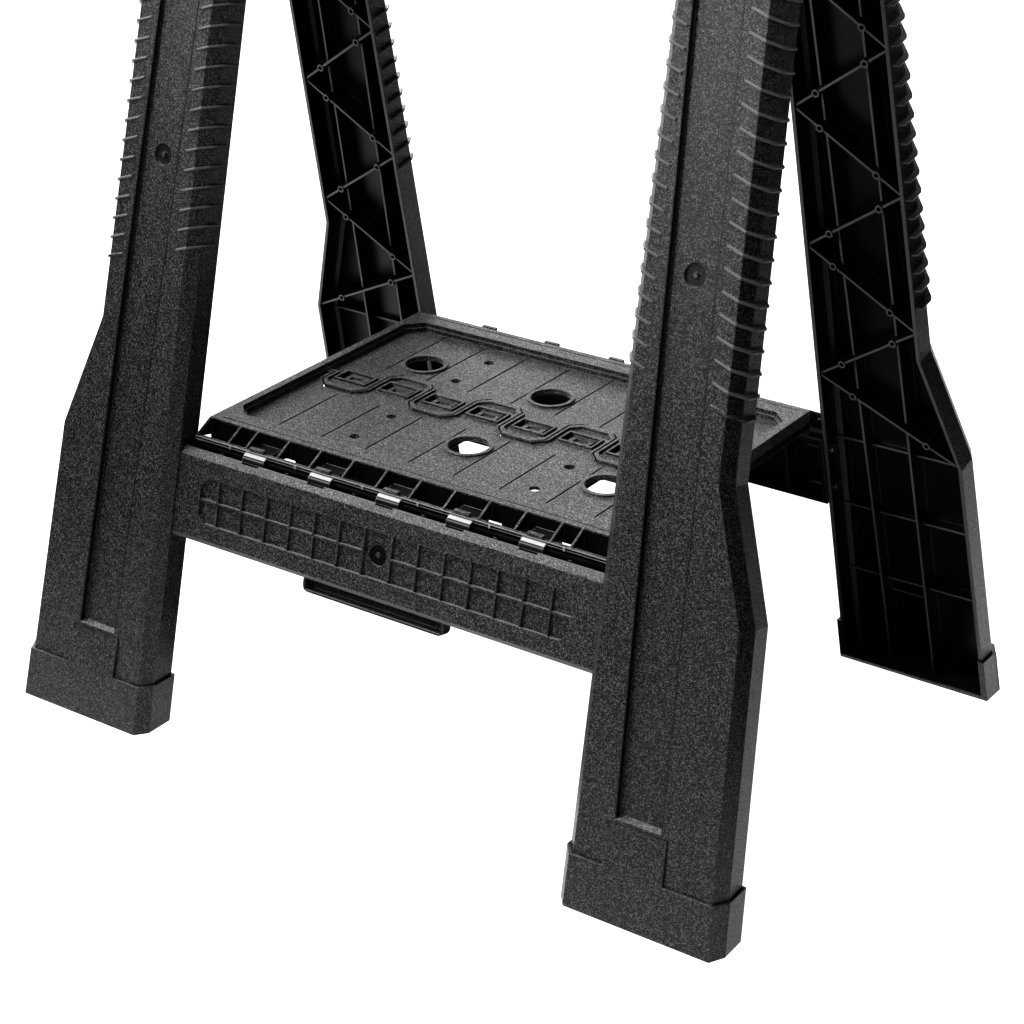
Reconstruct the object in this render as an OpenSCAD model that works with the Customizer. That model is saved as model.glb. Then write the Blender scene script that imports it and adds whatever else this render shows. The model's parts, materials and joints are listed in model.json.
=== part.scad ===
// Folding sawhorse: two A-frame sides joined by a rod at the top and by a two-leaf tray
// that folds upwards between the legs. X runs along the beam, +Y from front to rear, Z up.
// The origin is on the floor, midway between the four feet.

/* [Stance] */
// Distance on the floor between the outer faces of the two sides
foot_spread = 428; // [400:1:460]
// Height of the work surface
top_height = 813; // [740:1:880]
// How far the line on which the two sides turn lies below the work surface
hinge_drop = 34; // [30:0.5:38]

/* [Side frame] */
// Depth of a side frame, outer face to inner edge
frame_depth = 29; // [27:0.5:31]
// Gap between the two sides when folded
fold_gap = 1.5; // [1:0.5:3]
// Wall of the mouldings
wall = 3; // [2.5:0.1:3.5]
// How far a bevelled edge runs sideways
bevel_run = 6; // [4:0.5:7]
// How deep a bevelled edge runs
bevel_depth = 10; // [8:0.5:11]
// How much further the bevel along the inner edge of a leg runs
inner_bevel_more = 1.3; // [0.5:0.1:2]
// How deep the bevel along the inner edge of a leg runs
inner_bevel_depth = 8.4; // [7:0.1:9]
// Step left along the foot of a bevel, where the mould parts
parting_step = 0.3; // [0.2:0.05:0.4]

/* [Legs] */
// Inner edge of a leg at the floor, from the middle
leg_in_foot = 191.3; // [188:0.1:195]
// Inner edge of a leg at its top, from the middle
leg_in_top = 176; // [174:0.1:180]
// Outer edge of a leg at the floor, from the middle
leg_out_foot = 300; // [290:0.5:310]
// Outer edge at the lower knee
knee_low_out = 286; // [278:0.5:294]
// Distance up the leg of the lower knee
knee_low_up = 217; // [205:1:230]
// Outer edge at the upper knee
knee_high_out = 257; // [252:0.5:262]
// Distance up the leg of the upper knee
knee_high_up = 302; // [290:1:312]
// Outer edge at the top of the leg
leg_out_top = 234; // [230:0.5:240]
// Depth of a leg, outer face to open inner edge
leg_depth = 27; // [25.5:0.5:28]

/* [Leg face strip] */
// Width of the sunk strip
strip_w = 34; // [28:0.5:36]
// Depth of the sunk strip
strip_depth = 4; // [2:0.5:5]
// Distance up the leg at which the strip begins
strip_up = 73; // [71:1:85]
// How far the sloped end of the strip runs down the face
strip_slope = 2.5; // [1:0.25:3]
// Middle of the strip at its foot, from the middle of the frame
strip_foot_u = 236.6; // [234:0.1:239]
// Middle of the strip at the top of the leg
strip_top_u = 198.5; // [197:0.1:201]
// Diameter of the round moulding dimples
dimple_d = 15; // [12:0.5:18]
// Depth of the round moulding dimples
dimple_depth = 2; // [1:0.25:2.5]
// Distance up the leg of its dimple
dimple_up = 425.6; // [400:0.2:450]

/* [Grip fins on the legs] */
// Spacing of the fins up the leg
fin_pitch = 14; // [12:0.5:18]
// Thickness of a fin
fin_t = 1.6; // [1.4:0.1:2.4]
// How far an outer fin stands out from the side of the leg
fin_proud = 4.5; // [3:0.25:5]
// How far an inner fin stands out from the side of the leg
fin_in_proud = 2.5; // [2:0.25:4]
// Height of a fin over the face of the leg
fin_rise = 1.8; // [1:0.1:2.5]
// How far a fin reaches in over the face of the leg
fin_reach = 12.5; // [8:0.5:14]
// Slope of the fins, degrees
fin_slope = 18; // [12:1:22]
// Distance up the leg of the lowest outer fin
fin_out_start = 346.8; // [342:0.2:352]
// Distance up the leg of the lowest inner fin
fin_in_start = 365.6; // [362:0.2:372]

/* [Ribs inside the legs] */
// Spacing of the points of the zigzag rib on one side
truss_pitch = 107; // [95:1:120]
// Thickness of a rib
rib_t = 2; // [1.5:0.1:2.5]
// How far the zigzag rib stops short of the open edge
rib_short = 1.5; // [1:0.25:3]
// Height of the long low ribs
low_rib_h = 12; // [6:0.5:14]
// Height of the short ribs across the wide part of a leg
cross_rib_h = 9; // [6:0.5:12]
// Spacing of the short ribs up the leg
cross_rib_pitch = 61; // [50:1:66]
// Distance up the leg of the lowest short rib
cross_rib_up = 84; // [76:1:92]
// Outer diameter of the round bosses on the zigzag rib
boss_d = 6; // [5:0.25:7]
// Diameter of the hole in a boss
boss_hole_d = 3; // [2:0.25:3.5]

/* [Feet] */
// Height of the cap on the foot
foot_h = 37; // [30:1:42]
// How far the cap stands out from the leg
foot_proud = 2; // [1:0.25:3]
// Thickness of the sole
sole_t = 4; // [3:0.5:6]
// Width of the tongue on the front of the cap
tongue_w = 45; // [36:1:50]
// Distance up the leg of the top of the tongue
tongue_up = 68; // [60:1:70]

/* [Crossbar] */
// Distance up the frame of its lower edge
bar_low_up = 155.6; // [150:0.2:160]
// How far the top of its front lip stands over the middle of the tray rod
lip_rise = 1.2; // [0.6:0.1:1.5]
// Thickness of its front wall
bar_wall = 4.5; // [4:0.25:5]
// Thickness of the lip in front of the tray rod
lip_t = 3.5; // [3:0.1:3.8]
// Pitch of the sunk cells
cell_pitch = 21.9; // [20:0.1:22]
// Width of the cell in the middle
cell_mid_w = 23.6; // [20:0.1:25]
// Half length of the sunk panel
panel_half = 159.4; // [157:0.2:162]
// Distance up the frame of the bottom of the sunk panel
panel_low_up = 170.9; // [168:0.1:174]
// Height of the sunk panel
panel_h = 33.5; // [30:0.5:35]
// Depth of the sunk panel
panel_depth = 2.5; // [1.5:0.25:3]
// Cut corners of the sunk panel
panel_corner = 6; // [3:0.5:8]
// Thickness of the ribs between the sunk cells
grid_t = 1.6; // [1.2:0.1:2.4]
// Height of the bevel along the top of the face
bar_bevel_top = 7; // [4:0.5:9]
// Height of the bevel along the bottom of the face
bar_bevel_low = 3; // [2:0.5:5]

/* [Grip under the crossbar] */
// Length of the grip
grip_l = 122; // [100:1:140]
// How far the grip hangs below the crossbar
grip_drop = 10; // [7:0.5:12]
// Depth of the grip, front to back
grip_depth = 9; // [7:0.5:11]
// Wall of the grip
grip_wall = 2.2; // [1.6:0.1:2.6]
// Radius of the lower corners of the grip
grip_corner = 5; // [3:0.5:6]

/* [Tray rods] */
// Distance up the frame of the tray rod
rod_up = 223; // [222:0.25:224]
// Depth of the tray rod behind the face of the legs
rod_in = 22; // [21.5:0.25:22.5]
// Diameter of the tray rod
rod_d = 7; // [6:0.25:7.5]
// Running clearance of the clips round a rod, on the radius
rod_play = 0.08; // [0.04:0.01:0.1]
// Gap between each end of a tray rod and the leg
rod_end_gap = 0.5; // [0.3:0.1:1]

/* [Tray] */
// Gap between the folded tray and the legs beside it
tray_side_gap = 1.7; // [1:0.1:5]
// Distance of the front wall from the fold line
tray_wall_y = 126.5; // [124:0.5:128]
// Height of the rim above the line of the rods
rim_h = 16; // [14:0.5:17]
// Height of the floor above the line of the rods
floor_h = 9; // [8.5:0.5:10]
// Thickness of the tray floor
floor_t = 2.5; // [2:0.25:3]
// Width of the rim at the sides
rim_side_w = 8; // [6:0.25:9]
// Width of the rim at the front
rim_front_w = 18.5; // [15:0.5:20]
// Size of the cut corners inside the rim
rim_corner = 12; // [8:0.5:16]
// Clearance of the ribs under the tray above the line of the rods
under_gap = 1; // [0.8:0.1:1.5]
// Spacing of the grooves in the floor
groove_pitch = 38.9; // [36:0.1:42]
// Width of a groove
groove_w = 1.4; // [1:0.1:2]
// Depth of a groove
groove_depth = 1; // [0.6:0.1:1.4]
// Diameter of the large holes
big_hole_d = 30; // [24:1:34]
// Width of the raised ring round a large hole
ring_w = 3; // [2:0.25:4]
// Distance of the large holes from the fold line
big_hole_y = 52; // [48:0.5:56]
// Distance of the outer large hole from the middle
big_hole_x = 116; // [112:0.5:120]
// Diameter of the small holes
small_hole_d = 8; // [5:0.5:9]
// Distance of the small holes from the middle
small_hole_x = 78; // [74:0.5:80]
// Distance of the nearer small holes from the fold line
small_hole_near = 40; // [38:0.5:42]
// Distance of the further small holes from the fold line
small_hole_far = 83; // [78:0.5:90]
// Distance of the groove along the front rim from the outer edge
rim_groove_in = 4.5; // [3:0.5:6]
// Width of the step round the inside of the tray wall
ledge_w = 1.5; // [1:0.25:2]
// Height of the raised rings
ring_h = 1.5; // [1:0.25:2]

/* [Fold line of the tray] */
// Plain stretch at each end of the fold line
fold_end = 14.3; // [8:0.1:20]
// How far a tongue reaches past the fold line
tongue_reach = 24; // [20:0.5:25]
// Cut corners of a tongue
tongue_corner = 8; // [5:0.5:9]
// Gap between the two leaves
leaf_gap = 1.5; // [1:0.1:2]
// Width of the raised edge along the fold line
edge_w = 1.8; // [1.2:0.1:2.2]
// Height of the raised edge
edge_h = 2; // [1:0.25:3]
// Length of a hinge window
window_l = 26; // [22:0.5:28]
// Width of a hinge window
window_w = 14; // [12:0.5:15]
// Diameter of the fold pin
pin_d = 5; // [4:0.25:5.5]
// Outer diameter of the knuckles on the fold pin
knuckle_d = 10; // [9.5:0.25:11]
// Length of a knuckle on the fold pin
knuckle_l = 18; // [12:0.5:20]

/* [Tray clips] */
// Spacing of the clips on the tray rod
clip_pitch = 59.5; // [56:0.5:61]
// Length of a clip
clip_l = 19; // [15:0.5:21]
// Width of the tab on top of a clip
tab_w = 12.5; // [10:0.5:15]
// Height of the tab over the middle of the tray rod
tab_h = 10.5; // [9:0.5:11]
// Thickness of the tab
tab_t = 3; // [2:0.25:3.5]
// Wall of a clip
clip_wall = 3; // [2.5:0.1:3.2]
// Width of the mouth of a clip
clip_mouth = 5; // [4:0.25:5.5]
// Spacing of the wide skirt ribs
skirt_pitch = 29; // [27:0.5:30]
// Spacing of the close skirt ribs at the ends
skirt_end_pitch = 16; // [14:0.5:17]
// Thickness of a skirt rib
skirt_t = 1.6; // [1.2:0.1:2]
// Width of the rail that joins the clips
rail_w = 3; // [2:0.25:3.5]
// How far the rail that joins the clips stands over them
rail_rise = 1.2; // [0.8:0.1:1.5]
// Length of the slot through the front wall beside a clip
slot_l = 12; // [8:0.5:14]

/* [Beam] */
// Half length of the beam
beam_half = 262; // [250:1:280]
// Height of the beam, up the frame
beam_h = 75.2; // [70:0.2:84]
// Width of a V-notch at the top
notch_w = 44; // [30:1:48]
// Distance of a V-notch from the middle
notch_x = 110; // [105:1:120]
// Diameter of the top hinge rod
hinge_rod_d = 6; // [5:0.25:6.5]
// Outer diameter of the top knuckles
top_knuckle_d = 12.6; // [12:0.2:13]
// Length of a top knuckle
top_knuckle_l = 18; // [14:0.5:22]
// Distance of the inner top knuckles from the middle
inner_knuckle_x = 45; // [40:1:50]
// Distance of the outer top knuckles from the middle
outer_knuckle_x = 180; // [176:1:190]
// How far the hinge rod stands out past the outer knuckles
hinge_rod_past = 3; // [1:0.5:6]
// Clearance round the knuckles in the opposite beam
top_play = 0.3; // [0.3:0.1:0.6]

/* [Screws] */
// Diameter of a screw shank
screw_d = 4; // [3.5:0.25:4.5]
// Diameter of a screw head
screw_head_d = 8.5; // [7.5:0.25:9]
// Height of a screw head
screw_head_h = 2.5; // [2:0.25:3]
// Length of a screw under its head
screw_l = 16; // [14:1:18]
// Wall of a screw boss
boss_wall = 2.5; // [2:0.25:3]
// Distance of the screws from the open inner edge of the frame
screw_edge = 10; // [9:0.5:12]
// Distance of the end screws from the edges of the crossbar
bar_screw_edge = 12; // [10:0.5:14]
// Distance of the inner beam screws from the inner edge of the leg
beam_screw_edge = 14; // [12:0.5:16]
// Distance of the outer beam screws from the outer edge of the leg
beam_screw_outer = 12; // [10:0.5:14]

/* [Hidden] */
$fn = 48;
eps = 0.01;
over = 1;                                       // how far a cut runs past the face it opens
far = 2000;

foot_y = foot_spread / 2;
mid_in = frame_depth + fold_gap / 2;            // depth of the plane where the two sides meet
hinge_z = top_height - hinge_drop;
// each side leans so that the two meet on the hinge line
lean = acos(mid_in / norm([foot_y, hinge_z])) - atan2(hinge_z, foot_y);
hinge_up = (foot_y - mid_in * cos(lean)) / sin(lean);
top_up = top_height / cos(lean);
leg_top_up = top_up - beam_h;
rod_y = foot_y - rod_up * sin(lean) - rod_in * cos(lean);
rod_z = rod_up * cos(lean) - rod_in * sin(lean);
leg_in_taper = (leg_in_foot - leg_in_top) / leg_top_up;
bar_top_up = rod_up + lip_rise;
panel_top_up = panel_low_up + panel_h;
panel_mid_up = panel_low_up + panel_h / 2;
flange_top_up = rod_up - rod_d / 2 - 2 * clip_wall;
notch_depth = notch_w / 2;
floor_z = rod_z + floor_h;
rim_z = rod_z + rim_h;
under_z = rod_z + under_gap;
rod_len = 2 * (leg_in(rod_up) - bevel_run - rod_end_gap);
tray_half = leg_in(rod_up + rod_y) - bevel_run - tray_side_gap;
tongue_pitch = (tray_half - fold_end) / 4;      // the fold line is eight tongues long
leg_low = -bevel_depth;                         // the leg begins below the floor and is cut off by it
nub_d = 3.5;                                    // what is left standing in the middle of a dimple
web_shoulder = 1.2;                             // how far a rod support stands out beside the rod
screw_in = frame_depth - screw_edge;
bar_screw_ups = [bar_low_up + bar_screw_edge, flange_top_up - bar_screw_edge];
beam_screw_us = [leg_in_top + beam_screw_edge, leg_out_top - beam_screw_outer];

function leg_in(up) = leg_in_foot - leg_in_taper * up;
function slide(up, a_up, a, b_up, b) = a + (b - a) * (up - a_up) / (b_up - a_up);
function leg_out(up) =
    up < knee_low_up ? slide(up, 0, leg_out_foot, knee_low_up, knee_low_out)
    : up < knee_high_up ? slide(up, knee_low_up, knee_low_out, knee_high_up, knee_high_out)
    : slide(up, knee_high_up, knee_high_out, leg_top_up, leg_out_top);
function strip_u(up) = slide(up, strip_up, strip_foot_u, leg_top_up, strip_top_u);

// Children drawn as x = across, y = depth behind the outer face, z = distance up the face
module front_place() { translate([0, -foot_y, 0]) rotate([-lean, 0, 0]) children(); }
module rear_place() { rotate([0, 0, 180]) front_place() children(); }
module left_side() { mirror([1, 0, 0]) children(); }

// A flat outline of [across, up] points, made thick from depth d0 to depth d1
module slab(points, d0, d1) {
    translate([0, d1, 0]) rotate([90, 0, 0]) linear_extrude(d1 - d0) polygon(points);
}

// Points along one edge of a leg between two distances up
function knees_between(low, high) = [for (up = [knee_low_up, knee_high_up]) if (up > low && up < high) up];
function edge_points(out, grow, low, high) =
    [for (up = concat([low], out ? knees_between(low, high) : [], [high]))
        [out ? leg_out(up) + grow : leg_in(up) - grow, up]];
function reversed(list) = [for (i = [len(list) - 1 : -1 : 0]) list[i]];
function leg_outline(grow, low, high) =
    concat(edge_points(false, grow, low, high), reversed(edge_points(true, grow, low, high)));

// What a bevel takes away along the line through two points, side +1 outwards, -1 inwards
module bevel_cut(a, b, side, grow, full_run = bevel_run, depth = bevel_depth) {
    tilt = atan2(b[0] - a[0], b[1] - a[1]);
    run = (full_run - parting_step) * cos(tilt);
    wide = far / 4;
    past = 1.5;                                 // the cut runs on past the foot of the bevel
    translate([a[0] + side * grow, -grow, a[1]]) rotate([0, tilt, 0]) translate([0, 0, -far / 2])
        linear_extrude(far)
        polygon([[0, 0], [0, -over], [side * wide, -over],
                 [side * wide, past * depth], [side * past * run, past * depth]]);
}

// The bevelled outer form of a leg between two distances up, grown by an amount
module leg_form(grow, low, high, back = leg_depth) {
    knee_low = [knee_low_out, knee_low_up];
    knee_high = [knee_high_out, knee_high_up];
    parting = bevel_depth - grow;
    slab(leg_outline(grow + bevel_run, low, high), parting, back);
    difference() {
        slab(leg_outline(grow + bevel_run, low, high), -grow, parting + parting_step / 2);
        bevel_cut([leg_in_foot + inner_bevel_more, 0], [leg_in_top + inner_bevel_more, leg_top_up],
                  -1, grow, bevel_run + inner_bevel_more, inner_bevel_depth);
        // the outer edge turns in at the lower knee and out again at the upper one
        intersection() {
            union() {
                bevel_cut([leg_out_foot, 0], knee_low, 1, grow);
                bevel_cut(knee_low, knee_high, 1, grow);
            }
            bevel_cut(knee_high, [leg_out_top, leg_top_up], 1, grow);
        }
    }
}

// One fin, drawn across the edge of the leg: x = out from the edge of the face, y = depth
module fin(side, reach, proud) {
    tip = bevel_run + proud;
    back = leg_depth - 2;
    corner = 3;
    sunk = 1;                                   // how far the fin is let into the leg
    low = fin_rise / 2;                         // its height at the inner end
    mirror([side > 0 ? 0 : 1, 0, 0])
        linear_extrude(fin_t, center = true)
        polygon([[-reach, sunk], [-reach, -low], [fin_rise / 3, -fin_rise],
                 [tip - corner / 2, bevel_depth - corner], [tip, bevel_depth], [tip, back - corner],
                 [tip - corner, back], [bevel_run - sunk, back],
                 [bevel_run - sunk, bevel_depth + sunk], [-fin_rise, sunk]]);
}

module fins() {
    for (up = [fin_out_start : fin_pitch : leg_top_up - fin_pitch])
        translate([leg_out(up), 0, up]) rotate([0, fin_slope, 0]) fin(1, fin_reach, fin_proud);
    for (up = [fin_in_start : fin_pitch : leg_top_up - fin_pitch])
        translate([leg_in(up), 0, up]) rotate([0, fin_slope, 0]) fin(-1, fin_reach - 2, fin_in_proud);
}

// The zigzag rib: straight runs between the two side walls of the leg, their ends let into the walls
truss_seat = wall / 2;
truss_stagger = 0.3;
truss_depth = leg_depth - rib_short;
boss_rise = 0.7;
boss_hole = 5;                                  // depth of the hole in a boss
boss_parts = [0.24, 0.76];
truss_step = truss_pitch / 2;
truss_count = floor((leg_top_up - knee_low_up) / truss_step);
function truss_point(i) =
    let (up = knee_low_up + i * truss_step)
    [i % 2 == 0 ? leg_out(up) + bevel_run - truss_seat : leg_in(up) - bevel_run + truss_seat, up];

module rib_run(a, b, d0, d1) {
    tilt = atan2(b[0] - a[0], b[1] - a[1]);
    translate([a[0], 0, a[1]]) rotate([0, tilt, 0])
        translate([-rib_t / 2, d0, 0]) cube([rib_t, d1 - d0, norm(b - a)]);
}

module at_bosses() {
    for (i = [0 : truss_count - 1]) for (part = boss_parts) {
        a = truss_point(i);
        b = truss_point(i + 1);
        translate([a[0] + (b[0] - a[0]) * part, truss_depth + boss_rise, a[1] + (b[1] - a[1]) * part])
            rotate([90, 0, 0]) children();
    }
}

module truss() {
    root = wall - over;
    for (i = [0 : truss_count - 1])
        rib_run(truss_point(i), truss_point(i + 1), root, truss_depth - (i % 2) * truss_stagger);
    at_bosses() cylinder(d = boss_d, h = truss_depth + boss_rise - root);
}

// Outline of a band along the strip, from one distance up to another
function strip_band(half, low, high) =
    [for (p = [[low, -1], [high, -1], [high, 1], [low, 1]]) [strip_u(p[0]) + p[1] * half, p[0]]];

module leg_ribs() {
    strip_half = strip_w / 2;
    root = wall - over;
    back = strip_depth + wall;
    // the back of the sunk strip, with a long low rib along each side
    slab(strip_band(strip_half + rib_t, strip_up - wall, leg_top_up), root, back);
    for (side = [-1, 1]) {
        shift = side * (strip_half + rib_t / 2);
        rib_run([strip_u(leg_low) + shift, leg_low], [strip_u(leg_top_up) + shift, leg_top_up],
                root, back + low_rib_h);
    }
    truss();
    for (up = [cross_rib_up : cross_rib_pitch : knee_low_up - cross_rib_h])
        translate([leg_in(up) - bevel_run, root, up])
            cube([leg_out(up) - leg_in(up) + 2 * bevel_run, cross_rib_h, rib_t]);
}

// What the sunk strip takes away: its lower end slopes out to the face
module strip_cut() {
    low = strip_up - strip_slope;
    rise = strip_slope / strip_depth;           // rise of the slope for each millimetre of depth
    difference() {
        slab(strip_band(strip_w / 2, low, leg_top_up + over), -over, strip_depth);
        rotate([90, 0, 90]) linear_extrude(far)
            polygon([[-2 * over, low - 2 * over * rise], [strip_depth + over, strip_up + over * rise],
                     [strip_depth + over, low - strip_depth], [-2 * over, low - strip_depth]]);
    }
}

module dimple(depth) {
    rotate([-90, 0, 0]) difference() {
        translate([0, 0, -over]) cylinder(d = dimple_d, h = depth + over);
        cylinder(d = nub_d, h = depth + over);
    }
}

module leg() {
    low = leg_low - over;
    high = leg_top_up - wall;
    color("#1d1d1d") difference() {
        union() {
            difference() {
                leg_form(0, leg_low, leg_top_up);
                // the hollow, open to the inside of the frame
                slab(leg_outline(-wall / 2, low, high), wall, bevel_depth + eps);
                slab(leg_outline(bevel_run - wall, low, high), bevel_depth, leg_depth + over);
            }
            intersection() {
                leg_ribs();
                leg_form(-wall / 6, leg_low, leg_top_up);
            }
            fins();
        }
        strip_cut();
        at_bosses() translate([0, 0, -over]) cylinder(d = boss_hole_d, h = boss_hole + over);
        translate([strip_u(dimple_up), strip_depth, dimple_up]) dimple(dimple_depth);
        for (up = bar_screw_ups) bar_screw_place(up) cylinder(d = screw_d, h = 4 * wall, center = true);
        for (u = beam_screw_us)
            translate([u, screw_in, leg_top_up]) cylinder(d = screw_d, h = 4 * wall, center = true);
        below(sole_t);
    }
}

// z runs from the leg's inner side wall into the crossbar
module bar_screw_place(up) {
    translate([leg_in(up) - bevel_run, screw_in, up]) rotate([0, -90 - atan(leg_in_taper), 0]) children();
}

module screw() {
    translate([0, 0, -wall - screw_head_h]) cylinder(d = screw_head_d, h = screw_head_h);
    translate([0, 0, -wall]) cylinder(d = screw_d, h = screw_l);
}

module frame_screws() {
    color("dimgray") for (side = [0, 1]) mirror([side, 0, 0]) {
        for (up = bar_screw_ups) bar_screw_place(up) screw();
        for (u = beam_screw_us) translate([u, screw_in, leg_top_up]) screw();
    }
}

// Everything below or above a height over the floor, seen from a leaning frame
module below(height) {
    rotate([lean, 0, 0]) translate([-far / 2, -far / 2, height - far]) cube(far);
}
module above(height) {
    rotate([lean, 0, 0]) translate([-far / 2, -far / 2, height]) cube(far);
}

// The tongue on the front of the cap fades out up the face of the leg
module foot_tongue() {
    low = foot_h - over;
    thin = 0.15;
    intersection() {
        slab(strip_band(tongue_w / 2, low, tongue_up), -foot_proud, 0);
        rotate([90, 0, 90]) linear_extrude(far)
            polygon([[over, low - over], [-foot_proud - over, low - over], [-foot_proud - over, foot_h],
                     [-foot_proud, foot_h], [-thin, tongue_up + over], [over, tongue_up + over]]);
    }
}

// The cap on a foot. Its top edge is level.
module foot() {
    high = foot_h + (foot_proud + frame_depth) * tan(lean) + over;
    color("#1a1a1a") difference() {
        union() {
            difference() {
                leg_form(foot_proud, leg_low, high, frame_depth);
                above(foot_h * cos(lean) + foot_proud * sin(lean));
            }
            foot_tongue();
        }
        difference() {
            union() {
                leg_form(0, leg_low, high + over);
                // the cap leaves the hollow of the leg open
                slab(leg_outline(bevel_run - wall, leg_low, high + over), bevel_depth, frame_depth + over);
            }
            below(sole_t);
        }
        below(0);
    }
}

// A tray rod support: a web under the rod that wraps its lower half
module rod_web(u) {
    back_wall = bevel_depth + bar_wall - over;
    translate([u - wall / 2, 0, 0]) difference() {
        union() {
            translate([0, back_wall, bar_low_up + over])
                cube([wall, frame_depth - back_wall, flange_top_up - bar_low_up]);
            translate([0, rod_in - rod_d / 2 - web_shoulder, flange_top_up])
                cube([wall, rod_d + 2 * web_shoulder, rod_up - flange_top_up]);
        }
        translate([-over, rod_in, rod_up]) rotate([0, 90, 0]) cylinder(d = rod_d, h = wall + 2 * over);
    }
}

function bar_outline(inset, low, high) =
    [[-leg_in(low) + bevel_run + inset, low], [leg_in(low) - bevel_run - inset, low],
     [leg_in(high) - bevel_run - inset, high], [-leg_in(high) + bevel_run + inset, high]];

// The face of the crossbar lies in the plane where the bevels of the legs end
module crossbar() {
    d0 = bevel_depth;
    lip_notch = tab_t / 2;                      // depth of a notch below the middle of the rod
    edge_slope = 30;
    edge_cut = 20;
    color("#222222") difference() {
        union() {
            difference() {
                slab(bar_outline(0, bar_low_up, bar_top_up), d0, frame_depth);
                // hollow behind the front wall, open to the inside
                slab(bar_outline(wall, bar_low_up + wall, flange_top_up - wall),
                     d0 + bar_wall, frame_depth + over);
                // open trough for the tray rod
                slab(bar_outline(-over, flange_top_up, bar_top_up + over), d0 + lip_t, frame_depth + over);
            }
            for (i = [-2.5 : 1 : 2.5]) rod_web(i * clip_pitch);
            // bosses for the end screws
            for (side = [0, 1]) mirror([side, 0, 0]) for (up = bar_screw_ups)
                bar_screw_place(up) cylinder(d = screw_d + 2 * boss_wall, h = screw_l);
        }
        // bevelled top and bottom edges of the face
        translate([-far / 2, d0, bar_top_up - bar_bevel_top]) rotate([-edge_slope, 0, 0])
            translate([0, -edge_cut, 0]) cube([far, edge_cut, edge_cut]);
        translate([-far / 2, d0, bar_low_up + bar_bevel_low]) rotate([edge_slope, 0, 0])
            translate([0, -edge_cut, -edge_cut]) cube([far, edge_cut, edge_cut]);
        sunk_panel();
        // notches in the lip, in which the tabs of the clips turn
        for (i = [-2 : 2]) translate([i * clip_pitch - tab_w / 2 - over, d0 - over, rod_up - lip_notch])
            cube([tab_w + 2 * over, lip_t + 2 * over, far]);
        for (side = [0, 1]) mirror([side, 0, 0]) for (up = bar_screw_ups)
            bar_screw_place(up) translate([0, 0, -over]) cylinder(d = screw_d, h = screw_l - wall + over);
        translate([0, d0 + panel_depth, panel_mid_up]) dimple(dimple_depth / 2);
    }
}

// The sunk panel of the crossbar with its grid of ribs left standing
module sunk_panel() {
    cut = panel_corner;
    d0 = bevel_depth;
    rib_in = d0 + 0.5;
    half_mid = cell_mid_w / 2;
    difference() {
        slab([[-panel_half + cut, panel_low_up], [panel_half - cut, panel_low_up],
              [panel_half, panel_low_up + cut], [panel_half, panel_top_up - cut],
              [panel_half - cut, panel_top_up], [-panel_half + cut, panel_top_up],
              [-panel_half, panel_top_up - cut], [-panel_half, panel_low_up + cut]],
             d0 - over, d0 + panel_depth);
        for (side = [-1, 1]) {
            for (i = [0 : 6])
                translate([side * (half_mid + i * cell_pitch) - grid_t / 2, rib_in, panel_low_up - over])
                    cube([grid_t, panel_depth, panel_h + 2 * over]);
            translate([side > 0 ? half_mid : -panel_half - over, rib_in, panel_mid_up - grid_t / 2])
                cube([panel_half + over - half_mid, panel_depth, grid_t]);
        }
    }
}

// A hand grip: a trough-shaped lip with rounded lower corners
module grip() {
    r = grip_corner;
    d0 = bevel_depth + 2;
    corner_x = grip_l / 2 - r;
    corner_z = r - grip_drop;
    color("#161616") difference() {
        translate([0, d0 + grip_depth, bar_low_up]) rotate([90, 0, 0]) linear_extrude(grip_depth)
            polygon(concat([[-grip_l / 2, 0]],
                [for (a = [180 : 15 : 270]) [-corner_x + r * cos(a), corner_z + r * sin(a)]],
                [for (a = [270 : 15 : 360]) [corner_x + r * cos(a), corner_z + r * sin(a)]],
                [[grip_l / 2, 0]]));
        translate([-grip_l / 2 + grip_wall, d0 - over, bar_low_up - grip_drop + grip_wall])
            cube([grip_l - 2 * grip_wall, grip_depth - grip_wall + over, grip_drop]);
    }
}

module tray_rod() {
    color("#202020") translate([0, rod_in, rod_up]) rotate([0, 90, 0])
        cylinder(d = rod_d, h = rod_len, center = true);
}

// The hollow cells of a beam, open to the inside, with a narrow part that runs up behind the hinge
module beam_cells(groove_r) {
    cells = 8;
    cell = (2 * beam_half - wall) / cells;
    wide_h = hinge_up - groove_r - 2 * wall - leg_top_up;
    tall_h = top_up - notch_depth - 2 * wall - leg_top_up;
    for (i = [0 : cells - 1]) translate([-beam_half + wall + i * cell, wall, leg_top_up + wall]) {
        cube([cell - wall, frame_depth, wide_h]);
        cube([cell - wall, frame_depth - groove_r - 2 * wall, tall_h]);
    }
}

module beam_screw_places() {
    for (side = [-1, 1]) for (u = beam_screw_us) translate([side * u, screw_in, leg_top_up]) children();
}

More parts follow.
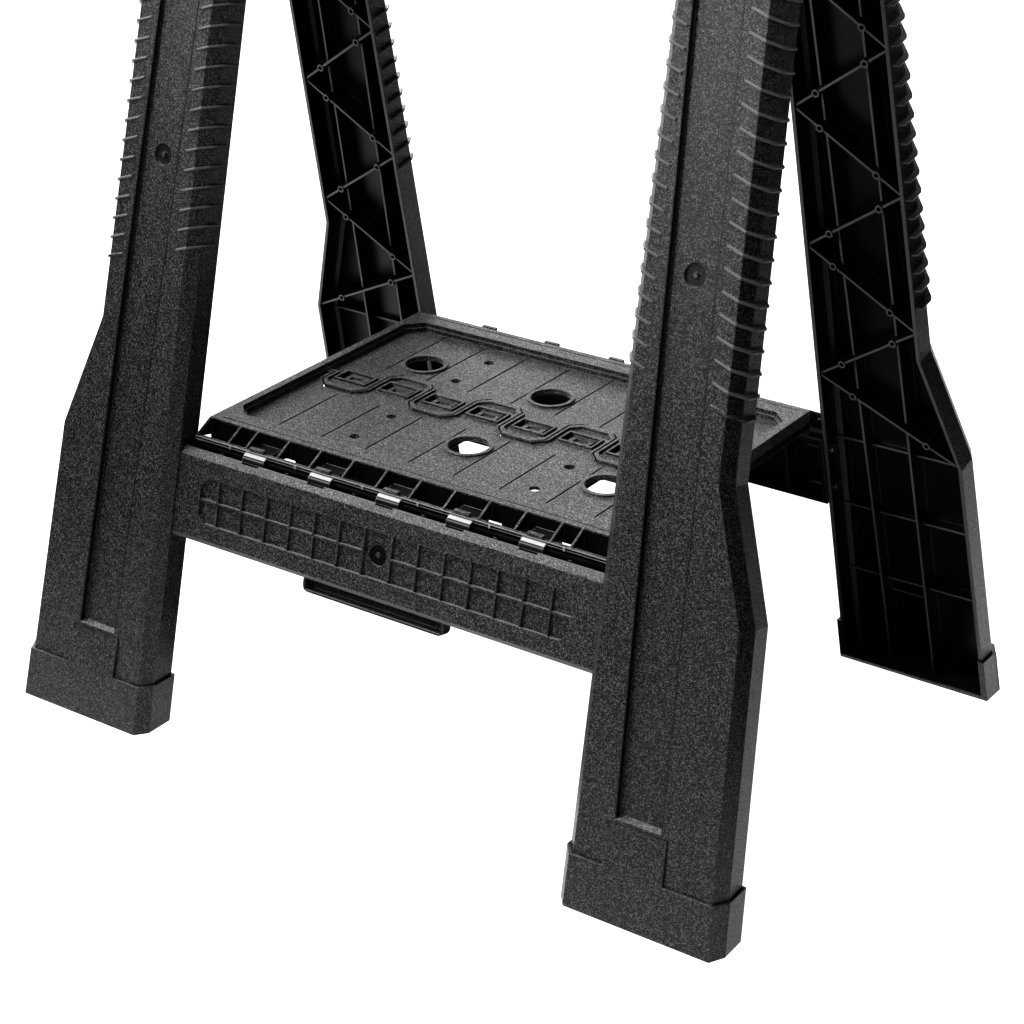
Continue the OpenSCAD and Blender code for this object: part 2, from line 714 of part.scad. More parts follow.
// The beam of one side. hook is true where the knuckles are open hooks.
module beam(hook) {
    gap = fold_gap / 2;
    side_gap = 2.5;
    step_in = top_knuckle_l + side_gap;
    spots = hook ? [inner_knuckle_x + step_in, outer_knuckle_x - step_in]
                 : [inner_knuckle_x, outer_knuckle_x];
    groove_r = top_knuckle_d / 2 + fold_gap;
    bore_r = hinge_rod_d / 2 + (hook ? top_play : 0);
    mouth_r = bore_r - top_play / 6;
    color("#222222") difference() {
        front_place() {
            difference() {
                translate([-beam_half, 0, leg_top_up]) cube([2 * beam_half, frame_depth, top_up]);
                beam_cells(groove_r);
                // clearance for the other side's knuckles
                translate([-far / 2, mid_in, hinge_up]) rotate([0, 90, 0]) cylinder(r = groove_r, h = far);
                // above the hinge the two beams meet on an upright plane
                translate([-far / 2, mid_in, hinge_up]) rotate([lean, 0, 0])
                    translate([0, -gap, 0]) cube(far);
                beam_bevels();
                beam_screw_places() translate([0, 0, -over]) cylinder(d = screw_d, h = wall + 2 * over);
            }
            beam_screw_places() difference() {
                cylinder(d = screw_d + 2 * boss_wall, h = screw_l);
                translate([0, 0, -over]) cylinder(d = screw_d, h = screw_l - wall + over);
            }
            for (side = [-1, 1]) for (x = spots) translate([side * x, mid_in, hinge_up]) top_knuckle();
        }
        // the work surface is level
        translate([-far / 2, -far / 2, top_height]) cube(far);
        for (side = [-1, 1]) translate([side * notch_x, 0, top_height]) rotate([0, 45, 0])
            cube([notch_w / sqrt(2), far, notch_w / sqrt(2)], center = true);
        translate([-far / 2, 0, hinge_z]) rotate([0, 90, 0]) cylinder(r = bore_r, h = far);
        // the mouth of each hook, wide enough for the rod to leave it open or folded
        if (hook) for (turn = [0, -lean]) translate([-far / 2, 0, hinge_z]) rotate([turn, 0, 0])
            translate([0, 0, -mouth_r]) cube([far, frame_depth, 2 * mouth_r]);
    }
}

// Bevelled edges of the outer face of the beam: along the bottom, and up both ends
module beam_bevels() {
    run = bevel_run;
    clear = run + over;
    face = [[0, 0], [0, -over], [-clear, -over], [-clear, bevel_depth], [-run, bevel_depth]];
    edge = [[0, 0], [0, -over], [run, -over], [run, run], [run / 2, run]];
    for (side = [0, 1]) mirror([side, 0, 0])
        translate([run - beam_half, 0, leg_top_up - over]) linear_extrude(top_up) polygon(face);
    translate([-beam_half - over, 0, leg_top_up + run / 2])
        rotate([0, 90, 0]) linear_extrude(far) polygon(edge);
}

// A ring on the hinge line with an arm back into the beam, the line being the origin
module top_knuckle() {
    arm = top_knuckle_d / 2 + wall;
    rotate([0, 90, 0]) cylinder(d = top_knuckle_d, h = top_knuckle_l, center = true);
    translate([-top_knuckle_l / 2, -arm, -top_knuckle_d / 2]) cube([top_knuckle_l, arm, top_knuckle_d]);
}

module top_rod() {
    color("silver") translate([0, 0, hinge_z]) rotate([0, 90, 0])
        cylinder(d = hinge_rod_d, h = 2 * (outer_knuckle_x + hinge_rod_past) + top_knuckle_l, center = true);
}

// Outline of one interlocking tongue, from the fold line to its tip, grown by an amount
module tongue(grow) {
    half = tongue_pitch / 2 + grow;
    tip = tongue_reach + grow;
    corner = tongue_corner + (2 - sqrt(2)) * grow;
    polygon([[-half, -1], [half, -1], [half, tip - corner], [half - corner, tip],
             [-half + corner, tip], [-half, tip - corner]]);
}

own_tongues = [-2.5, -0.5, 1.5, 3.5];
grooves = [for (i = [-3.5 : 1 : 3.5]) i * groove_pitch];
big_holes = [[0, -big_hole_y], [big_hole_x, -big_hole_y]];
small_holes = [for (x = [-1, 1]) for (y = [small_hole_near, small_hole_far]) [x * small_hole_x, -y]];
clip_r = rod_d / 2 + rod_play + clip_wall;
seam_clear = 4;                                 // from the tips of the tongues to the grooves and ribs
pin_end = 3;                                    // how far the fold pin stops short of the last tongue
slot_clips = [-2, -1, 1, 2];                    // the clips with a slot beside them
skirt_half = 4.5 * skirt_pitch;
skirt_xs = concat([for (x = [-skirt_half : skirt_pitch : skirt_half + 1]) x],
                  [for (s = [-1, 1]) s * (skirt_half + skirt_end_pitch)],
                  [for (s = [-1, 1]) s * (tray_half - skirt_t / 2)]);

// Floor outline of the front leaf along the fold line, with the leaf's edge moved by an amount
module leaf_outline(inset, wall_y) {
    cut = leaf_gap / 2 + inset;
    difference() {
        union() {
            translate([-tray_half, -wall_y]) square([2 * tray_half, wall_y - cut]);
            for (i = own_tongues) translate([i * tongue_pitch, -cut]) tongue(-cut);
        }
        for (i = own_tongues) translate([-i * tongue_pitch, cut]) mirror([0, 1]) tongue(cut);
    }
}

// Outline of the hollow of the tray, open towards the fold line
module basin(grow) {
    x = tray_half - rim_side_w + grow;
    y = tray_wall_y - rim_front_w + grow;
    cut = rim_corner;
    polygon([[-x, y], [-x, cut - y], [cut - x, -y], [x - cut, -y], [x, cut - y], [x, y]]);
}

module rim() {
    ledge_z = (floor_z + rim_z) / 2;
    difference() {
        translate([0, 0, under_z]) linear_extrude(rim_z - under_z) difference() {
            leaf_outline(0, tray_wall_y);
            basin(-eps);
        }
        translate([0, 0, ledge_z]) linear_extrude(rim_h) basin(ledge_w);
    }
}

// A low edge that stands up along the meandering fold line
module seam_edge() {
    linear_extrude(edge_h) difference() {
        intersection() {
            leaf_outline(0, tongue_reach * 2);
            basin(0);
            translate([-tray_half, -tongue_reach - seam_clear])
                square([2 * tray_half, 3 * tongue_reach]);
        }
        leaf_outline(edge_w, tongue_reach * 2 + over);
    }
}

module under_ribs() {
    t = 2;
    far_rib = -tongue_reach - seam_clear - t;
    h = floor_z - floor_t - under_z + eps;
    for (x = grooves) translate([x - t / 2, over - tray_wall_y, under_z])
        cube([t, tray_wall_y + far_rib, h]);
    for (y = [-0.75 * tray_wall_y, far_rib])
        translate([over - tray_half, y, under_z]) cube([2 * (tray_half - over), t, h]);
}

module tray_leaf() {
    frame_l = window_l + 3;
    frame_w = window_w + 3;
    shell = 2;                                  // wall of the hollow front rim
    color("#1c1c1c") difference() {
        union() {
            difference() {
                union() {
                    rim();
                    translate([0, 0, floor_z - floor_t]) linear_extrude(floor_t)
                        leaf_outline(0, tray_wall_y);
                }
                translate([shell - tray_half, shell - tray_wall_y, under_z - over])
                    cube([2 * (tray_half - shell), rim_front_w - 2 * shell - ledge_w,
                          rim_z - under_z - shell + over]);
                // a groove along the top of the front rim
                translate([rim_side_w - tray_half, rim_groove_in - tray_wall_y, rim_z - shell / 2])
                    cube([2 * (tray_half - rim_side_w), groove_w, rim_h]);
            }
            translate([0, 0, floor_z - eps]) {
                seam_edge();
                for (p = big_holes) translate(p) cylinder(d = big_hole_d + 2 * ring_w, h = ring_h);
                // raised frames round the hinge windows
                for (i = own_tongues) translate([i * tongue_pitch - frame_l / 2, -frame_w / 2, 0])
                    cube([frame_l, frame_w, edge_h]);
            }
            under_ribs();
            // skirt ribs down to the rail over the rod
            for (x = skirt_xs) translate([x, 0, 0]) skirt_rib();
            rail();
            front_wall_foot();
            for (i = [-2 : 2]) translate([i * clip_pitch, 0, 0]) clip();
        }
        for (p = big_holes) translate(p) cylinder(d = big_hole_d, h = far);
        for (p = small_holes) translate(p) cylinder(d = small_hole_d, h = far);
        for (x = grooves) translate([x - groove_w / 2, rim_front_w - tray_wall_y, floor_z - groove_depth])
            cube([groove_w, tray_wall_y - rim_front_w - tongue_reach - seam_clear, rim_h]);
        // hinge windows
        for (i = own_tongues) translate([i * tongue_pitch - window_l / 2, -window_w / 2, rod_z])
            cube([window_l, window_w, 3 * floor_h]);
        translate([-far / 2, -rod_y, rod_z]) rotate([0, 90, 0]) cylinder(r = rod_d / 2 + rod_play, h = far);
        // mouth of the clips, open downwards
        translate([-far / 2, -rod_y - clip_mouth / 2, rod_z - 2 * clip_r])
            cube([far, clip_mouth, 2 * clip_r]);
    }
    color("#1c1c1c") for (i = own_tongues) translate([i * tongue_pitch, 0, rod_z]) {
        fold_knuckle();
        window_floor();
    }
}

// The rail over the rod, with short stubs between the clips
module rail() {
    low = rod_d / 2 + web_shoulder + 0.3;
    h = clip_r + rail_rise - low;
    stub = 1;                                   // how far a stub stands out from the rail
    from_web = 6;                               // distance of a stub from the support of the rod
    translate([-tray_half, -rod_y - rail_w / 2, rod_z + low]) cube([2 * tray_half, rail_w, h]);
    for (side = [-1, 1]) for (i = [0.5 : 1 : 2.5]) {
        x = side * (i * clip_pitch - from_web);
        translate([x - skirt_t / 2, -rod_y - rail_w / 2 - stub, rod_z + low]) cube([skirt_t, rail_w, h]);
    }
}

// The front wall runs down below the rod line, with a slot beside some of the clips
module front_wall_foot() {
    drop = 4;
    wall_t = 2;
    ends = concat([-tray_half], [for (i = slot_clips) i * clip_pitch + clip_l / 2 + slot_l]);
    stops = concat([for (i = slot_clips) i * clip_pitch + clip_l / 2], [tray_half]);
    for (k = [0 : len(ends) - 1]) translate([ends[k], -tray_wall_y, under_z - drop])
        cube([stops[k] - ends[k], wall_t, drop + over]);
}

module skirt_rib() {
    past = 1.2;                                 // how far it reaches over the middle of the rod
    rise = 1;                                   // height of its low end over the clips
    translate([skirt_t / 2, 0, 0]) rotate([0, -90, 0]) linear_extrude(skirt_t)
        polygon([[rim_z, -tray_wall_y + 1], [rim_z, -tray_wall_y], [rod_z + clip_r + rise, -rod_y - past],
                 [rod_z + clip_r, -rod_y - past], [under_z + 2, -tray_wall_y],
                 [under_z + 2, -tray_wall_y + 1]]);
}

// An open clip that snaps over the tray rod, joined to the front wall by an arm
module clip() {
    translate([-clip_l / 2, -rod_y, rod_z]) rotate([0, 90, 0]) cylinder(r = clip_r, h = clip_l);
    translate([-clip_l / 2, -rod_y, rod_z + over]) cube([clip_l, rod_y - tray_wall_y + over, clip_r - over]);
    translate([-tab_w / 2, -rod_y - tab_t / 2, rod_z + over]) cube([tab_w, tab_t, tab_h - over]);
}

// A thin floor low in a hinge window, held by skirts under its two long edges
module window_floor() {
    t = 1;
    low = knuckle_d / 2;
    translate([-window_l / 2 - t, -window_w / 2 - t, low]) cube([window_l + 2 * t, window_w + 2 * t, t]);
    for (y = [-window_w / 2 - t, window_w / 2])
        translate([-window_l / 2 - t, y, low]) cube([window_l + 2 * t, t, floor_h - floor_t - low + eps]);
}

// A ring on the fold pin, hung from a bar across its window
module fold_knuckle() {
    bar = window_w + 2;
    stem = pin_d + 3;
    pocket = [11, 5.5, 1.5];
    difference() {
        union() {
            rotate([0, 90, 0]) cylinder(d = knuckle_d, h = knuckle_l, center = true);
            translate([-knuckle_l / 2, -stem / 2, 0]) cube([knuckle_l, stem, floor_h]);
            translate([-knuckle_l / 2, -bar / 2, floor_h - floor_t]) cube([knuckle_l, bar, floor_t]);
        }
        rotate([0, 90, 0]) cylinder(r = pin_d / 2 + rod_play, h = far, center = true);
        translate([-pocket[0] / 2, -pocket[1] / 2, floor_h - pocket[2]])
            cube([pocket[0], pocket[1], pocket[2] + over]);
    }
}

module fold_pin() {
    color("silver") translate([0, 0, rod_z]) rotate([0, 90, 0])
        cylinder(d = pin_d, h = 2 * (4 * tongue_pitch - pin_end), center = true);
}

front_place() left_side() leg();  // front_left_leg
front_place() leg();  // front_right_leg
front_place() crossbar();  // front_crossbar
beam(false);  // front_beam
front_place() left_side() foot();  // front_left_foot
front_place() foot();  // front_right_foot
front_place() grip();  // front_grip
front_place() tray_rod();  // front_tray_rod
front_place() frame_screws();  // front_screws
top_rod();  // top_hinge_rod
rear_place() leg();  // rear_left_leg
rear_place() left_side() leg();  // rear_right_leg
rear_place() crossbar();  // rear_crossbar
rotate([0, 0, 180]) beam(true);  // rear_beam
rear_place() foot();  // rear_left_foot
rear_place() left_side() foot();  // rear_right_foot
rear_place() grip();  // rear_grip
rear_place() tray_rod();  // rear_tray_rod
rear_place() frame_screws();  // rear_screws
tray_leaf();  // front_tray_leaf
rotate([0, 0, 180]) tray_leaf();  // rear_tray_leaf
fold_pin();  // tray_fold_pin
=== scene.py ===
"""Looks for the folding sawhorse: materials, rounded edges, floor, light and camera."""

import json
import math

import bpy
from mathutils import Euler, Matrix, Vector

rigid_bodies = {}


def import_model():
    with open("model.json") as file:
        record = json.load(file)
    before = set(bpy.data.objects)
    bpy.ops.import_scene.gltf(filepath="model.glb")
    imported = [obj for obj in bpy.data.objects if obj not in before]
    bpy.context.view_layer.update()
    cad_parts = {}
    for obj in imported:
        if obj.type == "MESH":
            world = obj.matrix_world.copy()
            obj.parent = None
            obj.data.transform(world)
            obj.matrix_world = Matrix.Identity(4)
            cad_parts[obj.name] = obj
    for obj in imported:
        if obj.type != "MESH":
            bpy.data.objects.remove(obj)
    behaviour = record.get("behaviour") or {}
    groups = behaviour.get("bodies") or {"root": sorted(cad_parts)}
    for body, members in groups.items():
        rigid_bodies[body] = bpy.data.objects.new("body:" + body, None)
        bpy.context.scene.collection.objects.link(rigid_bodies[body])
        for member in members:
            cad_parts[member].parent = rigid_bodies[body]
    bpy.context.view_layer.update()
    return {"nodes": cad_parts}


for thing in list(bpy.data.objects):
    bpy.data.objects.remove(thing)
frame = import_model()
nodes = frame["nodes"]

# Sizes of the CAD model that the finishes follow, in metres. On a leaning side, "up" runs from the
# floor along its face, "depth" goes in from the face, and "across" is measured from the middle.
FOOT_Y = 0.214                          # half the spread of the feet
MID_IN = 0.02975                        # depth of the plane where the two sides meet
HINGE_Z = 0.779
LEAN = math.acos(MID_IN / math.hypot(FOOT_Y, HINGE_Z)) - math.atan2(HINGE_Z, FOOT_Y)
SIN, COS = math.sin(LEAN), math.cos(LEAN)

# A leg: the edges of its face and the middle of its sunk strip, between points (up, across)
INNER_EDGE = (0, 0.1926), (0.760, 0.1773)
OUTER_LOW = (0, 0.300), (0.217, 0.286)
OUTER_KNEE = (0.217, 0.286), (0.302, 0.257)
OUTER_HIGH = (0.302, 0.257), (0.760, 0.234)
STRIP_MIDDLE = (0.073, 0.2366), (0.7602, 0.1985)
STRIP_HALF, STRIP_UP, STRIP_DEPTH = 0.0173, 0.072, 0.004
INNER_BEVEL, OUTER_BEVEL = 1.15, 1.667  # how steeply the bevels fall away past the face's edges
HOLLOW_PAST_IN, HOLLOW_PAST_OUT = 0.0056, 0.0045    # the hollow ends this far past those edges
HOLLOW_DEPTH, RIB_DEPTH = 0.0019, 0.0055            # the hollow and its ribs' edges, under the skin
FIN_PAST_IN, FIN_PAST_OUT = 0.0081, 0.0068          # what stands out further than this is a fin
FIN_PROUD, FIN_UP = 0.0008, 0.35
# The crease along both edges of the strip, painted dark as shade: its width, its core and how deep
# it reaches
CREASE_EDGE, CREASE_CORE, CREASE_DEPTH = 0.0010, 0.0005, 0.003

# A crossbar: the depth of its front plate, the height of its grid, and how its lower edge faces
BAR_DEPTH, GRID_UP = 0.0129, 0.190
LOWER_EDGE = -0.8, -0.3

# The tray, flat at rest, with the rods that its clips turn on
ROD_UP, ROD_IN = 0.223, 0.022
ROD_Y = FOOT_Y - ROD_UP * SIN - ROD_IN * COS
ROD_Z = ROD_UP * COS - ROD_IN * SIN
RIM_Z, FLOOR_Z = ROD_Z + 0.016, ROD_Z + 0.009
WALL_Y = 0.1265                         # the outer wall of the rim
RIB_SLOPE = (RIM_Z - ROD_Z - 0.0076) / (ROD_Y + 0.0012 - WALL_Y)
SKIRT_OUT, SKIRT_UNDER = -0.0003, 0.0014            # past the wall, and under the ribs' edges
UNDERSIDE = FLOOR_Z - 0.0022
RAIL_LINES = (0.0050, 0.0057), (0.0071, 0.0079)     # painted highlight lines, above the middle of the rod
# painted highlight lines along each clip, above the middle of the rod
CLIP_LINES = (0.0034, 0.0042), (0.0002, 0.0010)
RAIL_LOW, RAIL_OUT, STUB_OUT, CLIP_OUT = 0.0049, 0.0013, 0.0019, 0.0045

# How softly a mask ends: in metres, and for the cosine of the way that a surface faces
SOFT, FIRM, SHARP, FINEST = 0.0004, 0.0003, 0.0002, 0.0001
FACING, FACING_SOFT = 0.9, 0.05

# The skin that all the plastic pieces share. Scales are counts in a metre.
GRAIN_SCALE, GRAIN_SMOOTH, FINE_SCALE = 1450.0, 0.35, 1450.0 * 1.7
GRAIN_PART, FINE_PART = 0.9, 0.8
# Painted highlight on the grain's tops and painted shade in its pits
GRAIN_TOP_GLINT, GRAIN_PIT_SHADE = (0.78, 1.05), (0.76, 0.5)
GRAIN_GLINT_LIFT, GRAIN_GLINT_POWER = 48.0, 3.2            # painted glints: how much lighter the glinting grains are, and their rarity
BUMP_HEIGHT = 0.0007
ROUNDING = 0.0009
EDGE_BEND = 0.995, 0.85
# A painted highlight along every edge: its strength, and how much lighter than the base it is
EDGE_HIGHLIGHT_PART, EDGE_HIGHLIGHT_GREY = 0.6, 30.0
FLOW_SCALE, FLOW_STRETCH, FLOW = 9.0, (1.0, 1.0, 0.35), (0.3, 0.72)
SCUFF_SCALE, SCUFF_STRETCH = 240.0, (1.0, 0.25, 0.08)
SCUFF, SCUFF_PLACE, SCUFF_PART, SCUFF_GREY = (0.66, 0.74), (0.48, 0.62), 0.25, 0.10
DUST_SCALE, DUST_PLACE_SCALE = 2600.0, 30.0
DUST, DUST_PLACE, DUST_PART, DUST_GREY = (0.70, 0.78), (0.45, 0.7), 0.20, 0.16
ROUGH_SPAN, ROUGH_FLOW = 0.12, 0.06
# Painted shade in the hollows: its grey; and the hollows' bump
HOLLOW_SHADE, HOLLOW_BUMP = 0.0012, 0.06
# Painted shade in the crease: its grey, and how much of it
CREASE_SHADE, CREASE_SHADE_PART = 0.0005, 0.9
# Painted highlights: their grey, and their strengths on rib edges, clips and the bar's lower edge
HIGHLIGHT_GREY = 0.11
RIB_HIGHLIGHT, CLIP_HIGHLIGHT, UNDER_EDGE_HIGHLIGHT = 0.8, 0.3, 0.8


# ---------------------------------------------------------------- node helpers
class Graph:
    """Short calls for building one material's nodes."""

    def __init__(self, name):
        self.mat = bpy.data.materials.new(name)
        self.mat.use_nodes = True
        self.tree = self.mat.node_tree
        self.tree.nodes.clear()
        self.out = self.add("ShaderNodeOutputMaterial")
        self.shader = self.add("ShaderNodeBsdfPrincipled")
        self.tree.links.new(self.shader.outputs[0], self.out.inputs[0])
        coords = self.add("ShaderNodeTexCoord")
        self.coords, self.facing = coords.outputs["Object"], coords.outputs["Normal"]

    def add(self, kind, **values):
        node = self.tree.nodes.new(kind)
        for key, value in values.items():
            setattr(node, key, value)
        return node

    def put(self, socket, value):
        if isinstance(value, bpy.types.NodeSocket):
            self.tree.links.new(value, socket)
        else:
            socket.default_value = value

    def math(self, op, a, b=0.0):
        node = self.add("ShaderNodeMath", operation=op)
        self.put(node.inputs[0], a)
        self.put(node.inputs[1], b)
        return node.outputs[0]

    def plus(self, a, b):
        return self.math("ADD", a, b)

    def minus(self, a, b):
        return self.math("SUBTRACT", a, b)

    def times(self, a, b):
        return self.math("MULTIPLY", a, b)

    def most(self, a, b):
        return self.math("MAXIMUM", a, b)

    def size(self, a):
        return self.math("ABSOLUTE", a)

    def split(self, vector):
        node = self.add("ShaderNodeSeparateXYZ")
        self.put(node.inputs[0], vector)
        return node.outputs

    def noise(self, scale, detail=2.0, rough=0.5, vector=None):
        node = self.add("ShaderNodeTexNoise")
        self.put(node.inputs["Vector"], vector or self.coords)
        node.inputs["Scale"].default_value = scale
        node.inputs["Detail"].default_value = detail
        node.inputs["Roughness"].default_value = rough
        return node.outputs["Fac"]

    def cells(self, scale, smooth):
        """Distance from the middle of each grain."""
        node = self.add("ShaderNodeTexVoronoi", feature="SMOOTH_F1")
        self.put(node.inputs["Vector"], self.coords)
        node.inputs["Scale"].default_value = scale
        node.inputs["Smoothness"].default_value = smooth
        return node.outputs["Distance"]

    def grain_glints(self, scale, power):
        """A different value in each grain, mostly low: where glints are painted."""
        node = self.add("ShaderNodeTexVoronoi", feature="F1")
        self.put(node.inputs["Vector"], self.coords)
        node.inputs["Scale"].default_value = scale
        parts = self.add("ShaderNodeSeparateColor")
        self.put(parts.inputs[0], node.outputs["Color"])
        return self.math("POWER", parts.outputs[0], power)

    def spread(self, value, low, high, to_low=0.0, to_high=1.0):
        node = self.add("ShaderNodeMapRange", clamp=True)
        self.put(node.inputs["Value"], value)
        limits = ("From Min", low), ("From Max", high), ("To Min", to_low), ("To Max", to_high)
        for key, number in limits:
            self.put(node.inputs[key], number)
        return node.outputs["Result"]

    def mix(self, factor, a, b, kind="RGBA"):
        node = self.add("ShaderNodeMix", data_type=kind)
        self.put(node.inputs["Factor"], factor)
        self.put(node.inputs["A"], a)
        self.put(node.inputs["B"], b)
        return node.outputs["Result"]

    def bump(self, height, strength, distance, normal=None):
        node = self.add("ShaderNodeBump")
        self.put(node.inputs["Strength"], strength)
        node.inputs["Distance"].default_value = distance
        self.put(node.inputs["Height"], height)
        if normal is not None:
            self.put(node.inputs["Normal"], normal)
        return node.outputs["Normal"]

    def stretched(self, x, y, z):
        node = self.add("ShaderNodeMapping")
        self.put(node.inputs["Vector"], self.coords)
        node.inputs["Scale"].default_value = (x, y, z)
        return node.outputs["Vector"]


def grey(value, warm=0.0):
    return (value * (1 + warm), value, value * (1 - warm), 1.0)


def step(g, value, edge, soft=SOFT):
    """1 where value is over edge."""
    return g.spread(g.minus(value, edge), -soft, soft)


def band(g, value, low, high):
    """1 between two values."""
    return g.times(step(g, value, low, FINEST), step(g, high, value, FINEST))


def line(g, up, ends):
    """Distance from the middle on the straight line through two points (up, across)."""
    (up_a, across_a), (up_b, across_b) = ends
    slope = (across_b - across_a) / (up_b - up_a)
    return g.plus(g.times(up, slope), across_a - slope * up_a)


def side_coords(g):
    """Distance from the middle, depth behind the face and distance up it, on either side."""
    x, y, z = g.split(g.coords)
    across = g.size(x)
    back = g.minus(FOOT_Y, g.size(y))
    up = g.plus(g.times(back, SIN), g.times(z, COS))
    depth = g.minus(g.times(back, COS), g.times(z, SIN))
    return across, depth, up


def side_facing(g):
    """How far a surface of either side faces inwards, and up along the side."""
    _, normal_y, normal_z = g.split(g.facing)
    _, y, _ = g.split(g.coords)
    outwards = g.times(normal_y, g.math("SIGN", y))
    inward = g.minus(g.times(outwards, -COS), g.times(normal_z, SIN))
    upward = g.minus(g.times(normal_z, COS), g.times(outwards, SIN))
    return inward, upward


# ---------------------------------------------------------------- masks of the moulded pieces
def leg_zones(g):
    """Masks on a leg: its hollow, painted dark as shade, painted highlights on the fins and the
    ribs' edges, and the crease, painted dark as shade.
    """
    across, depth, up = side_coords(g)
    inner = line(g, up, INNER_EDGE)
    low = line(g, up, OUTER_LOW)
    knee = line(g, up, OUTER_KNEE)
    high = line(g, up, OUTER_HIGH)
    outer = g.most(g.math("MINIMUM", low, knee), high)
    past_in = g.minus(inner, across)
    past_out = g.minus(across, outer)
    # how deep the outer surface lies: on the face, on the two bevels, and in the sunk strip
    skin = g.most(g.times(past_out, OUTER_BEVEL), g.times(past_in, INNER_BEVEL))
    strip = g.size(g.minus(across, line(g, up, STRIP_MIDDLE)))
    sunk = g.times(step(g, STRIP_HALF, strip, FINEST), step(g, up, STRIP_UP))
    skin = g.most(g.most(skin, 0.0), g.times(sunk, STRIP_DEPTH))
    # the hollow, painted dark as shade
    within = g.times(step(g, HOLLOW_PAST_IN, past_in), step(g, HOLLOW_PAST_OUT, past_out))
    hollow = g.times(within, step(g, depth, g.plus(skin, HOLLOW_DEPTH), FIRM))
    # fins stand in front of the skin, and past the two sides
    fins = g.most(step(g, past_in, FIN_PAST_IN, SHARP), step(g, past_out, FIN_PAST_OUT, SHARP))
    proud = step(g, g.minus(skin, FIN_PROUD), depth, SHARP)
    fins = g.times(g.most(fins, proud), step(g, up, FIN_UP))
    # the free edges of the ribs face inwards, clear of the wall behind them
    inward, _ = side_facing(g)
    free = step(g, inward, FACING, FACING_SOFT)
    ribs = g.times(free, step(g, depth, g.plus(skin, RIB_DEPTH), FIRM))
    # painted highlights on the fins and on the ribs' free edges
    painted_highlight = g.most(fins, g.times(ribs, RIB_HIGHLIGHT))
    # painted shade in the crease along both edges of the strip
    crease = g.spread(g.size(g.minus(strip, STRIP_HALF)), CREASE_EDGE, CREASE_CORE)
    crease = g.times(crease, g.times(step(g, up, STRIP_UP), step(g, CREASE_DEPTH, depth)))
    return hollow, painted_highlight, crease


def bar_zones(g):
    """Masks on a crossbar: its hollow with the trough of the rod, painted dark as shade, and
    painted highlights on up-facing ledges and on the lower edge.
    """
    _, depth, up = side_coords(g)
    _, upward = side_facing(g)
    front = step(g, BAR_DEPTH, depth)
    # painted highlights on up-facing ledges above the grid and on the downward-facing lower edge
    ledges = g.times(step(g, upward, FACING, FACING_SOFT), step(g, GRID_UP, up))
    least, most = LOWER_EDGE
    below = g.times(step(g, most, upward, FACING_SOFT), step(g, upward, least, FACING_SOFT))
    painted_highlight = g.times(front, g.most(ledges, g.times(below, UNDER_EDGE_HIGHLIGHT)))
    # the hollow behind the front plate, painted dark as shade
    return step(g, depth, BAR_DEPTH), painted_highlight, None


def tray_zones(g):
    """Masks on a leaf: what lies behind the ribs' sloping edges or below, painted dark as shade,
    and painted highlight lines.
    """
    _, y, z = g.split(g.coords)
    out = g.minus(g.size(y), WALL_Y)
    edge_z = g.minus(RIM_Z, g.times(g.most(out, 0.0), RIB_SLOPE))
    behind = g.minus(edge_z, z)
    # behind the ribs' sloping edges and under the floor, painted dark as shade
    skirt = g.times(step(g, out, SKIRT_OUT, FINEST), step(g, behind, SKIRT_UNDER, SHARP))
    under = step(g, UNDERSIDE, z, SHARP)
    # painted highlights on the edges of the rail and its stubs, and two painted highlight lines
    # along each clip
    over_rod = g.minus(z, ROD_Z)
    past_rod = g.plus(out, WALL_Y - ROD_Y)
    rail = g.most(*(band(g, over_rod, *limits) for limits in RAIL_LINES))
    rail = g.most(rail, step(g, past_rod, STUB_OUT, SHARP))
    on_rail = g.times(step(g, past_rod, RAIL_OUT, FINEST), step(g, over_rod, RAIL_LOW, FINEST))
    rail = g.times(rail, on_rail)
    clip = g.most(*(band(g, over_rod, *limits) for limits in CLIP_LINES))
    clip = g.times(clip, step(g, past_rod, CLIP_OUT, FINEST))
    clip = g.times(clip, CLIP_HIGHLIGHT)
    return g.most(skirt, under), g.most(rail, clip), None


# ---------------------------------------------------------------- materials
def rounded(g):
    """A normal that rounds every edge, and a mask of the edges."""
    soft = g.add("ShaderNodeBevel", samples=4)
    soft.inputs["Radius"].default_value = ROUNDING
    plain = g.add("ShaderNodeNewGeometry").outputs["Normal"]
    bend = g.add("ShaderNodeVectorMath", operation="DOT_PRODUCT")
    g.put(bend.inputs[0], soft.outputs[0])
    g.put(bend.inputs[1], plain)
    return soft.outputs[0], g.spread(bend.outputs["Value"], *EDGE_BEND)


